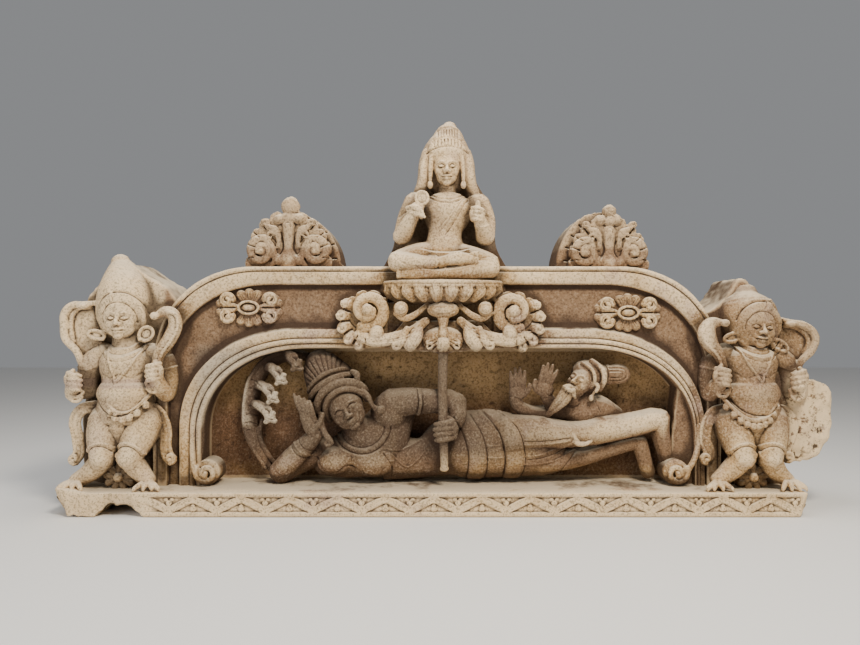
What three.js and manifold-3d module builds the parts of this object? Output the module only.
// A carved sandstone pediment that stands on its own plinth, cut from one block.
// A flattened arch with moulded edges frames a deep niche. In the niche a crowned figure reclines, with a
// hooded serpent behind the head and an ascetic behind the legs. The figure holds the stalk of a lotus, and
// on the lotus, above the arch, a second figure sits cross-legged. A squat guardian holding two serpents
// stands at each end, and two leaf finials rise from the arch.
//
// Millimetres, +Z up, front towards -Y. The origin is the middle of the plinth's underside. Depths are
// measured backwards from the plinth's front face.
import * as THREE from "three";
import { mergeVertices } from "three/addons/utils/BufferGeometryUtils.js";
import Module from "manifold-3d";

const wasm = await Module();
wasm.setup();

// ---- driving dimensions ----
const DEPTH = 340; // front of the plinth to the flat back of the block
const PLINTH_HALF = 1126; // half the plinth's length
const PLINTH_TOP = 72; // top of the plinth, where the niche floor and the guardians' feet are
const FRIEZE_DEPTH = 5; // how far the vine stands out of its sunk band
const ARCH_FRONT = 96; // depth of the arch's mouldings
const FIELD_FRONT = 112; // depth of the flat band between the mouldings
const NICHE_BACK = 215; // depth of the niche's back wall
const STALK_X = 33; // the lotus stalk and everything above it
const SEAT_Z = 708; // top of the lotus
const STONE = { color: 0xab8e6c, roughness: 0.92, metalness: 0 };

// Each arch line: its middle, half width, top, and the width and height of its rounded corners.
const OUTER_ARCH = { x: 15, half: 893, top: 760, cornerX: 330, cornerZ: 330 };
const BAND_ARCH = { x: 15, half: 846, top: 702, cornerX: 330, cornerZ: 300 };
const INNER_ARCH = { x: 40, half: 840, top: 563, cornerX: 400, cornerZ: 320 };
const NICHE_ARCH = { x: 48, half: 776, top: 502, cornerX: 350, cornerZ: 280 };
const CORNER_POWER = 2.2; // 2 is an ellipse, more is squarer
const CORNER_STEPS = 6;

// ---- helpers ----
const at = (x, depth, z) => new THREE.Vector3(x, depth - DEPTH / 2, z);
const toRad = THREE.MathUtils.degToRad;

// A closed three.js geometry as a manifold-3d solid.
function solid(geometry) {
  const bare = new THREE.BufferGeometry().setAttribute("position", geometry.getAttribute("position"));
  if (geometry.index) bare.setIndex(geometry.index);
  const merged = mergeVertices(bare, 1e-3);
  const triangles = [];
  const index = merged.index.array;
  for (let i = 0; i < index.length; i += 3) {
    const [a, b, c] = [index[i], index[i + 1], index[i + 2]];
    if (a !== b && b !== c && a !== c) triangles.push(a, b, c);
  }
  return new wasm.Manifold(
    new wasm.Mesh({
      numProp: 3,
      vertProperties: new Float32Array(merged.attributes.position.array),
      triVerts: new Uint32Array(triangles),
    }),
  );
}

const join = (solids) => solids.reduce((whole, next) => whole.add(next));

// An ellipsoid. tilt turns it in the front plane, in degrees, clockwise as seen from the front.
function ball(centre, [rx, ry, rz], tilt = 0, around = 7, rings = 4) {
  const geometry = new THREE.SphereGeometry(1, around, rings);
  geometry.rotateX(Math.PI / 2).scale(rx, ry, rz).rotateY(toRad(tilt));
  geometry.translate(centre.x, centre.y, centre.z);
  return solid(geometry);
}

// A limb: a lathe with a ring at each joint, bent to follow them. blunt is how far its ends are domed.
function limb(joints, radii, sides = 6, blunt = 0.6) {
  const last = joints.length - 1;
  const heights = [-1, ...joints.keys(), last + 1];
  const rings = [0, ...radii, 0].map((r, i) => new THREE.Vector2(r, heights[i]));
  const geometry = new THREE.LatheGeometry(rings, sides);
  const upright = new THREE.Vector3(0, 1, 0);
  const position = geometry.getAttribute("position");
  for (let i = 0; i < position.count; i++) {
    const ring = Math.round(position.getY(i));
    const joint = Math.min(Math.max(ring, 0), last);
    const run = joints[Math.min(joint + 1, last)].clone().sub(joints[Math.max(joint - 1, 0)]).normalize();
    const across = new THREE.Vector3(position.getX(i), 0, position.getZ(i));
    across.applyQuaternion(new THREE.Quaternion().setFromUnitVectors(upright, run));
    const beyond = (ring - joint) * radii[joint] * blunt;
    const moved = joints[joint].clone().add(across).addScaledVector(run, beyond);
    position.setXYZ(i, moved.x, moved.y, moved.z);
  }
  return solid(geometry);
}

// A flat-sided strip that follows a smooth curve through the points.
function strand(points, radius, steps, sides = 4) {
  const section = new THREE.Shape(
    Array.from({ length: sides }, (_, i) => {
      const turn = (i / sides) * 2 * Math.PI;
      return new THREE.Vector2(radius * Math.cos(turn), radius * Math.sin(turn));
    }),
  );
  const extrudePath = new THREE.CatmullRomCurve3(points, false, "centripetal");
  return solid(new THREE.ExtrudeGeometry(section, { steps, extrudePath, bevelEnabled: false }));
}

// An outline in the front plane, given as [x, z] points, cut from one depth to another.
function plate(outline, front, back) {
  const shape = new THREE.Shape(outline.map(([x, z]) => new THREE.Vector2(x, z)));
  const geometry = new THREE.ExtrudeGeometry(shape, { depth: back - front, bevelEnabled: false });
  geometry.rotateX(Math.PI / 2).translate(0, back - DEPTH / 2, 0);
  return solid(geometry);
}

// A spiral ridge in the front plane that winds inwards; spin 1 is anticlockwise as seen from the front.
function volute(x, z, depth, outer, inner, turns, start, spin, thick, steps = 8) {
  const points = Array.from({ length: steps + 1 }, (_, i) => {
    const share = i / steps;
    const turn = toRad(start) + spin * share * turns * 2 * Math.PI;
    const r = outer + (inner - outer) * share;
    return at(x + r * Math.cos(turn), depth, z + r * Math.sin(turn));
  });
  return strand(points, thick, steps);
}

// The outline of a leaf edge: an oval whose rim swells into lobes between two angles.
function lobedOutline(x, z, rx, rz, from, to, lobes) {
  const points = [];
  for (let lobe = 0; lobe < lobes; lobe++) {
    for (const [share, reach] of [[0, 0.84], [0.28, 1], [0.72, 1]]) {
      const turn = toRad(from + ((to - from) * (lobe + share)) / lobes);
      points.push([x + rx * reach * Math.cos(turn), z + rz * reach * Math.sin(turn)]);
    }
  }
  return points;
}

// The outline of one arch line, standing on z = foot, moved out by grow.
function archOutline({ x, half, top, cornerX, cornerZ }, foot, grow = 0) {
  const corner = Array.from({ length: CORNER_STEPS + 1 }, (_, i) => {
    const turn = (i / CORNER_STEPS) * (Math.PI / 2);
    return [
      half + grow - (cornerX + grow) * (1 - Math.cos(turn) ** (2 / CORNER_POWER)),
      top + grow - (cornerZ + grow) * (1 - Math.sin(turn) ** (2 / CORNER_POWER)),
    ];
  });
  const right = [[half + grow, foot], ...corner].map(([dx, z]) => [x + dx, z]);
  const left = [...corner].reverse().map(([dx, z]) => [x - dx, z]);
  return [...right, ...left, [x - half - grow, foot]];
}

// ---- the block: plinth, arch, niche and wings ----
const PLINTH_OUTLINE = [
  [-PLINTH_HALF + 30, 0],
  [-1012, 0],
  [-985, 36],
  [-905, 28],
  [-868, 0],
  [PLINTH_HALF - 22, 0],
  [PLINTH_HALF, 26],
  [PLINTH_HALF, PLINTH_TOP],
  [-PLINTH_HALF, PLINTH_TOP + 18],
  [-PLINTH_HALF - 8, 60],
];
const LEFT_WING = [
  [-1110, 40],
  [-1110, 92],
  [-1112, 120],
  [-1116, 330],
  [-1086, 370],
  [-1110, 470],
  [-1105, 610],
  [-1052, 700],
  [-1015, 785],
  [-986, 802],
  [-958, 782],
  [-834, 688],
  [-780, 600],
  [-780, 40],
];
const RIGHT_WING = [
  [780, 40],
  [780, 560],
  [895, 625],
  [958, 722],
  [982, 728],
  [1062, 655],
  [1110, 590],
  [1120, 400],
  [1095, 330],
  [1095, 150],
  [1126, 96],
  [1126, 40],
];
const WING_FRONT = 118;
const TENON_OUTLINE = [
  [1064, 165],
  [1180, 150],
  [1222, 178],
  [1252, 232],
  [1260, 366],
  [1230, 396],
  [1064, 424],
];
const TENON_FRONT = 92;
const FRIEZE = { low: 14, high: 56, period: 145, ribbon: 17, from: -890, to: 1115 };

// The vine of the plinth's front: a ribbon that runs up and down.
function frieze() {
  const { low, high, period, ribbon, from, to } = FRIEZE;
  const waves = Math.floor((to - from) / period);
  const upper = [];
  const lower = [];
  for (let i = 0; i < waves; i++) {
    const x = from + i * period;
    upper.push([x + 20, high - 1], [x + 70, low + ribbon], [x + 122, high - 1]);
    lower.push([x + 3, high - ribbon], [x + 70, low - 1], [x + 138, high - ribbon]);
  }
  return plate([...upper.reverse(), ...lower], -0.5, FRIEZE_DEPTH + 2);
}

function block() {
  const plinth = plate(PLINTH_OUTLINE, 0, DEPTH);
  const sunk = plate(
    [
      [FRIEZE.from, FRIEZE.low - 3],
      [FRIEZE.to, FRIEZE.low - 3],
      [FRIEZE.to, FRIEZE.high + 1],
      [FRIEZE.from, FRIEZE.high + 1],
    ],
    -5,
    FRIEZE_DEPTH,
  );
  const foot = 40;
  const body = plate(archOutline(OUTER_ARCH, foot), ARCH_FRONT, DEPTH);
  const field = plate(archOutline(BAND_ARCH, PLINTH_TOP + 40), 0, FIELD_FRONT);
  const inner = plate(archOutline(INNER_ARCH, PLINTH_TOP + 30), ARCH_FRONT, FIELD_FRONT + 20);
  const step = plate(archOutline(NICHE_ARCH, PLINTH_TOP, 16), 0, ARCH_FRONT + 8);
  const niche = plate(archOutline(NICHE_ARCH, PLINTH_TOP), 0, NICHE_BACK);
  const wings = [
    plate(LEFT_WING, WING_FRONT, DEPTH),
    plate(RIGHT_WING, WING_FRONT, DEPTH),
    plate(TENON_OUTLINE, TENON_FRONT, DEPTH - 60),
  ];
  const framed = body.subtract(field).add(inner).subtract(step).subtract(niche);
  return join([plinth.subtract(sunk), framed, frieze(), ...wings, ...archEnds()]);
}

// The inner moulding's two ends roll up on the niche floor.
function archEnds() {
  const roll = [
    [NICHE_BACK, 42],
    [74, 40],
    [68, 30],
    [80, 22],
    [66, 12],
  ];
  return [-706, 763].map((x) =>
    limb(
      roll.map(([depth]) => at(x, depth, 116)),
      roll.map(([, radius]) => radius),
      9,
      0.1,
    ),
  );
}

// ---- leaf finials on top of the arch ----
function finial({ x, foot, half, height, margin }) {
  const front = ARCH_FRONT + 12;
  const rim = 6;
  const dome = Array.from({ length: rim + 1 }, (_, i) => {
    const turn = (i / rim) * Math.PI;
    return [x + (half + margin) * Math.cos(turn), foot - 12 + height * 0.86 * Math.sin(turn) ** 0.8];
  });
  const parts = [
    plate(dome, front + 38, DEPTH - 30),
    plate(lobedOutline(x, foot + 26, half, height * 0.68, 0, 180, 6), front + 14, front + 42),
    limb(
      [0.04, 0.18, 0.34, 0.66, 0.8, 0.92].map((rise) => at(x, front + 20, foot + height * rise)),
      [26, 38, 16, 38, 24, 18],
      6,
      0.4,
    ),
  ];
  for (const side of [-1, 1]) {
    const eye = x + side * (half - 50);
    parts.push(volute(eye, foot + 42, front + 12, 38, 8, 1.1, side > 0 ? 10 : 170, side, 11, 6));
  }
  return join(parts);
}

// ---- rosettes on the flat band ----
function rosette(x, z) {
  const [reach, rise] = [84, 43];
  const parts = [ball(at(x, FIELD_FRONT, z), [36, 24, 25], 0, 8, 4)];
  const petals = 10;
  for (let i = 0; i < petals; i++) {
    const turn = ((i + 0.5) / petals) * 2 * Math.PI;
    const wide = Math.abs(Math.cos(turn)) > 0.5;
    const out = reach * Math.cos(turn) * (wide ? 0.9 : 0.8);
    const middle = at(x + out, FIELD_FRONT + 2, z + rise * Math.sin(turn));
    parts.push(ball(middle, wide ? [32, 16, 22] : [19, 14, 22], 0, 5, 2));
  }
  return join(parts);
}

// ---- lotus, scrolls and leaves below the seated figure ----
// The lotus: a bowl whose rim rises and falls from petal to petal.
function lotus() {
  const profile = [
    [0, 0],
    [116, 4],
    [168, 34],
    [186, 56],
    [182, 74],
    [0, 74],
  ].map(([r, h]) => new THREE.Vector2(r, h));
  const petals = 18;
  const cup = new THREE.LatheGeometry(profile, petals);
  const position = cup.getAttribute("position");
  for (let i = 0; i < position.count; i++) {
    const turn = Math.round((Math.atan2(position.getX(i), position.getZ(i)) / (2 * Math.PI)) * petals);
    const inward = turn % 2 !== 0 && position.getY(i) > 1 && position.getY(i) < 60 ? 0.91 : 1;
    position.setXYZ(i, position.getX(i) * inward, position.getY(i), position.getZ(i) * inward);
  }
  cup.rotateX(Math.PI / 2).scale(1, 0.6, 1);
  const foot = at(STALK_X, 128, SEAT_Z - 74);
  cup.translate(foot.x, foot.y, foot.z);
  return solid(cup);
}

function lotusConsole() {
  const leafEdge = lobedOutline(STALK_X, 574, 166, 76, 190, 350, 6);
  const parts = [
    lotus(),
    // the block that the scrolls are carved on, the leaf under it and the stalk's cap
    plate(
      [
        [STALK_X - 280, 512],
        [STALK_X - 160, 500],
        [STALK_X + 160, 500],
        [STALK_X + 280, 512],
        [STALK_X + 260, 640],
        [STALK_X - 260, 640],
      ],
      84,
      NICHE_BACK,
    ),
    plate([...leafEdge, [STALK_X + 118, 586], [STALK_X - 118, 586]], 62, 100),
    ball(at(STALK_X, 56, 618), [50, 30, 24], 0, 6, 3),
    ball(at(STALK_X, 60, 524), [58, 30, 38], 0, 6, 3),
    limb([at(STALK_X, 58, 614), at(STALK_X, 50, 550)], [17, 14], 5),
  ];
  for (const side of [-1, 1]) {
    const out = (reach) => STALK_X + side * reach;
    const rim = lobedOutline(out(238), 588, 88, 86, side > 0 ? -90 : 50, side > 0 ? 130 : 270, 5);
    parts.push(
      // the small curl under the lotus
      limb([at(out(126), 68, 626), at(out(108), 62, 606), at(out(40), 66, 622)], [26, 18, 9], 5),
      // the great scroll, with its ragged leaf edge and its stem
      plate(rim, 78, 122),
      volute(out(238), 592, 72, 56, 12, 1.15, side > 0 ? -60 : 240, side, 19, 6),
      limb([at(out(222), 66, 526), at(out(140), 64, 534), at(out(60), 70, 602)], [20, 18, 11], 5),
      // curled leaf that hangs under the block
      limb([at(out(70), 62, 568), at(out(92), 50, 522)], [11, 20], 4),
    );
  }
  return join(parts);
}

// ---- shared parts of the figures ----
// A head: skull, jaw and nose. size is half the face's height, and tilt leans it clockwise, seen from the
// front.
function head(centre, size, tilt = 0) {
  const up = new THREE.Vector3(Math.sin(toRad(tilt)), 0, Math.cos(toRad(tilt)));
  const front = new THREE.Vector3(0, -1, 0);
  const place = (rise, reach) =>
    centre.clone().addScaledVector(up, rise * size).addScaledVector(front, reach * size);
  const girths = [0.62, 0.84, 0.5].map((share) => share * size);
  return join([
    limb([place(0.62, 0), place(0.1, 0.02), place(-0.6, 0.14)], girths, 8, 0.5),
    limb([place(0.3, 0.72), place(-0.12, 0.9)], [0.08 * size, 0.17 * size], 4),
  ]);
}

// A closed hand: fingers stacked one over the other, as rings of one lathe.
function fist(centre, size) {
  const rings = [0.8, 0.4, 0, -0.4, -0.8];
  const joints = rings.map((rise) => new THREE.Vector3(centre.x, centre.y, centre.z + rise * size));
  return limb(joints, rings.map((_, i) => size * (i % 2 ? 0.6 : 0.78)), 5, 0.3);
}

// A hanging belt with a row of beads along its lower edge.
function beadBelt(x, z, beads, front, back) {
  const lower = lobedOutline(x, z, 100, 98, -148, -32, beads);
  return plate([...lower, [x + 74, z - 34], [x, z - 68], [x - 74, z - 34]], front, back);
}

// ---- the figure seated on the lotus ----
function seatedFigure() {
  const x = STALK_X + 12;
  const z = SEAT_Z;
  const backing = plate(
    [
      [x - 196, z - 20],
      [x + 190, z - 20],
      [x + 158, z + 120],
      [x + 142, z + 240],
      [x + 96, z + 330],
      [x + 50, z + 450],
      [x + 8, z + 516],
      [x - 24, z + 516],
      [x - 70, z + 450],
      [x - 98, z + 300],
      [x - 142, z + 240],
      [x - 170, z + 120],
    ],
    172,
    DEPTH - 30,
  );
  const parts = [
    backing,
    // hair piled into a tall cone
    limb([286, 380, 450, 500, 520].map((rise) => at(x - 2, 176, z + rise)), [92, 82, 60, 36, 18], 9, 0.4),
    head(at(x, 104, z + 350), 58),
    // neck, chest, waist and hips
    limb(
      [310, 268, 236, 150, 84, 40].map((rise) => at(x - 2, 126, z + rise)),
      [32, 42, 92, 60, 80, 86],
      9,
      0.2,
    ),
    // a lotus bud in the raised hand
    ball(at(x - 78, 48, z + 262), [26, 20, 26], 0, 6, 3),
    // crossed legs: one shin lies over the other
    limb([at(x + 96, 40, z + 62), at(x - 20, 42, z + 52), at(x - 150, 74, z + 58)], [20, 29, 42]),
    limb([at(x - 126, 46, z + 18), at(x + 10, 44, z + 16), at(x + 156, 76, z + 44)], [18, 25, 42]),
  ];
  for (const side of [-1, 1]) {
    const hand = side < 0 ? at(x - 92, 46, z + 222) : at(x + 98, 44, z + 214);
    const elbow = at(x + side * 134, 112, z + 130);
    parts.push(
      limb([at(x + side * 100, 134, z + 244), elbow], [46, 34]),
      limb([elbow, at(x + side * 98, 62, z + 206)], [32, 22], 5),
      fist(hand, 32),
    );
  }
  return join(parts);
}

// ---- a guardian at one end of the plinth ----
// Everything is set out from the guardian's own middle; outward is -1 at the left end and 1 at the right.
function guardian({ x, outward, faceX, faceZ, peakX, peakZ, beads, hood }) {
  const parts = [
    // helmet and head
    limb(
      [at(faceX, 140, faceZ - 40), at(faceX, 140, faceZ + 50), at(peakX, 168, peakZ - 34)],
      [86, 84, 36],
      8,
      0.5,
    ),
    head(at(faceX, 78, faceZ), 61),
    // trunk: neck, chest, belly and hips
    limb(
      [
        at(faceX, 96, 530),
        at(x, 104, 496),
        at(x, 104, 440),
        at(x, 104, 404),
        at(x, 96, 358),
        at(x, 110, 290),
      ],
      [36, 66, 88, 78, 84, 106],
      8,
      0.1,
    ),
    beadBelt(x, 358, beads, 4, 70),
    // flower between the feet
    ball(at(x, 30, 106), [44, 26, 46], 0, 6, 2),
    // the inner serpent's hood and head, and the outer hood, which is broken
    plate(
      INNER_HOOD.map(([reach, z]) => [x - outward * reach, z]),
      42,
      132,
    ),
    plate(hood, 34, 140),
  ];
  for (const side of [-1, 1]) {
    const aside = (reach, depth, z) => at(x + side * reach, depth, z);
    parts.push(
      // leaf-shaped ear
      limb([at(faceX + side * 46, 72, faceZ - 36), at(faceX + side * 92, 66, faceZ - 42)], [12, 21], 4),
      // leg: the knees are together and the feet apart
      limb(
        [aside(64, 92, 290), aside(38, 46, 190), aside(92, 56, 132), aside(146, 34, 86)],
        [62, 46, 34, 20],
      ),
      // ribbon that hangs from the belt and curls at its end
      limb([aside(116, 100, 330), aside(148, 98, 262), aside(146, 98, 160)], [10, 14, 21], 4),
      // arm and the fist that grips a serpent's neck
      limb([aside(92, 106, 480), aside(124, 104, 366)], [42, 38]),
      limb([aside(124, 102, 366), aside(114, 62, 390)], [34, 20], 5),
      fist(aside(112, 44, 400), 36),
    );
  }
  return join(parts);
}

// The inner serpent, set out from its guardian's middle.
const INNER_HOOD = [
  [96, 425],
  [124, 425],
  [130, 475],
  [160, 515],
  [182, 552],
  [184, 588],
  [170, 620],
  [146, 631],
  [124, 622],
  [106, 604],
  [120, 586],
  [140, 588],
  [152, 567],
  [138, 536],
  [112, 508],
  [93, 475],
];
// The broken outer hoods, left and right.
const LEFT_HOOD = [
  [-1035, 655],
  [-1075, 652],
  [-1140, 634],
  [-1162, 580],
  [-1150, 536],
  [-1100, 486],
  [-1096, 430],
  [-1040, 430],
];
const RIGHT_HOOD = [
  [1060, 440],
  [1130, 452],
  [1186, 486],
  [1206, 518],
  [1208, 548],
  [1176, 588],
  [1130, 604],
  [1060, 614],
];

// ---- the figure reclining in the niche ----
function recliningFigure() {
  const parts = [
    head(at(-270, 100, 302), 64, -32),
    // tall crown with its rim
    limb(
      [at(-286, 150, 330), at(-304, 146, 360), at(-306, 150, 364), at(-360, 150, 452)],
      [76, 78, 66, 48],
      9,
      0.3,
    ),
    // neck, shoulders and chest, turned to the front
    limb([at(-250, 140, 270), at(-206, 140, 222)], [36, 52]),
    limb(
      [at(-322, 170, 160), at(-250, 150, 186), at(-150, 150, 236), at(-110, 160, 318)],
      [50, 70, 84, 52],
    ),
    ball(at(-292, 132, 158), [58, 54, 46], -15, 6, 4),
    ball(at(-164, 132, 160), [74, 56, 60], 15, 6, 4),
    // waist, hips and the upper thigh, as far as the bent knee, then the shin
    limb(
      [
        at(-130, 150, 176),
        at(-20, 160, 166),
        at(90, 158, 188),
        at(200, 154, 212),
        at(380, 156, 240),
        at(700, 142, 286),
      ],
      [88, 76, 96, 98, 80, 36],
    ),
    limb([at(702, 148, 280), at(728, 150, 104)], [36, 28], 5),
    // the far leg
    limb([at(300, 150, 150), at(624, 152, 198)], [60, 34]),
    limb([at(626, 152, 196), at(682, 156, 92)], [32, 26], 5),
    // skirt, and the rock that the figure lies on
    limb([at(130, 160, 122), at(396, 160, 126)], [62, 56], 6, 0.2),
    plate([[-500, 60], [560, 60], [400, 96], [-420, 112]], 150, NICHE_BACK + 10),
    // bent arm: elbow on the floor, forearm up to the head, hand along the crown
    limb([at(-330, 156, 186), at(-486, 150, 108)], [50, 40]),
    limb([at(-492, 140, 108), at(-352, 100, 234)], [40, 28]),
    limb([at(-340, 82, 224), at(-382, 82, 290), at(-420, 98, 352)], [20, 27, 13]),
    // arm that reaches over the chest to the stalk
    limb([at(-120, 140, 326), at(-10, 112, 332), at(60, 100, 330)], [48, 42, 38]),
    limb([at(84, 100, 330), at(50, 96, 256)], [36, 26]),
    fist(at(STALK_X + 4, 84, 244), 38),
    // stalk of the lotus, from the console down through the hand
    limb([at(STALK_X, 66, 516), at(STALK_X, 66, 250), at(STALK_X + 4, 74, 124)], [19, 18, 10], 5),
  ];
  // belt and sash folds round the hips
  for (const x of [104, 156, 214]) {
    parts.push(limb([at(x - 30, 84, 284), at(x + 18, 60, 200), at(x + 8, 94, 92)], [12, 15, 12], 4));
  }
  return join(parts);
}

// ---- serpent hood behind the reclining figure's head ----
function serpent() {
  const spine = [
    at(-492, 170, 90),
    at(-560, 168, 170),
    at(-600, 166, 270),
    at(-588, 164, 370),
    at(-520, 160, 452),
    at(-410, 160, 476),
  ];
  const heads = [
    [-540, 268],
    [-534, 338],
    [-500, 402],
    [-440, 442],
    [-376, 466],
  ];
  const snakes = heads.map(([x, z]) =>
    limb([at(x - 34, 150, z + 2), at(x, 118, z + 8), at(x + 26, 118, z - 10)], [24, 24, 11], 4),
  );
  return join([limb(spine, [16, 34, 40, 40, 38, 28]), ...snakes]);
}

// ---- ascetic behind the reclining figure's legs ----
function ascetic() {
  return join([
    head(at(452, 140, 410), 56, -24),
    // cap, and the hair bound behind it
    limb([at(452, 160, 430), at(492, 158, 422), at(520, 160, 422), at(580, 162, 420)], [50, 48, 32, 28], 7),
    // beard, neck and shoulder
    limb([at(436, 108, 380), at(396, 120, 320)], [24, 8], 5),
    limb([at(470, 170, 372), at(462, 180, 300)], [40, 64], 6),
    // raised hands
    limb(
      [at(400, 170, 300), at(324, 150, 320), at(270, 134, 366), at(268, 130, 404), at(276, 130, 440)],
      [34, 24, 18, 23, 10],
      4,
    ),
    limb(
      [at(410, 160, 306), at(350, 136, 334), at(342, 124, 384), at(352, 118, 418), at(374, 118, 452)],
      [32, 24, 19, 24, 10],
      4,
    ),
  ]);
}

// ---- the finished stone ----
const carving = join([
  block(),
  finial({ x: -462, foot: 757, half: 136, height: 228, margin: 4 }),
  finial({ x: 551, foot: 750, half: 142, height: 206, margin: 40 }),
  rosette(-578, 630),
  rosette(616, 614),
  lotusConsole(),
  seatedFigure(),
  guardian({
    x: -967,
    outward: -1,
    faceX: -959,
    faceZ: 588,
    peakX: -984,
    peakZ: 800,
    beads: 7,
    hood: LEFT_HOOD,
  }),
  guardian({
    x: 992,
    outward: 1,
    faceX: 1005,
    faceZ: 566,
    peakX: 974,
    peakZ: 724,
    beads: 9,
    hood: RIGHT_HOOD,
  }),
  recliningFigure(),
  serpent(),
  ascetic(),
]);

// A manifold-3d solid as a three.js mesh with its own material.
function meshOf(name, made, look) {
  const { vertProperties, triVerts } = made.getMesh();
  const geometry = new THREE.BufferGeometry();
  geometry.setAttribute("position", new THREE.BufferAttribute(vertProperties, 3));
  geometry.setIndex(new THREE.BufferAttribute(triVerts, 1));
  geometry.computeVertexNormals();
  const mesh = new THREE.Mesh(geometry, new THREE.MeshStandardMaterial(look));
  mesh.name = name;
  return mesh;
}

const pediment = new THREE.Group();
pediment.name = "pediment";
pediment.add(meshOf("relief_panel", carving, STONE));

export default pediment;
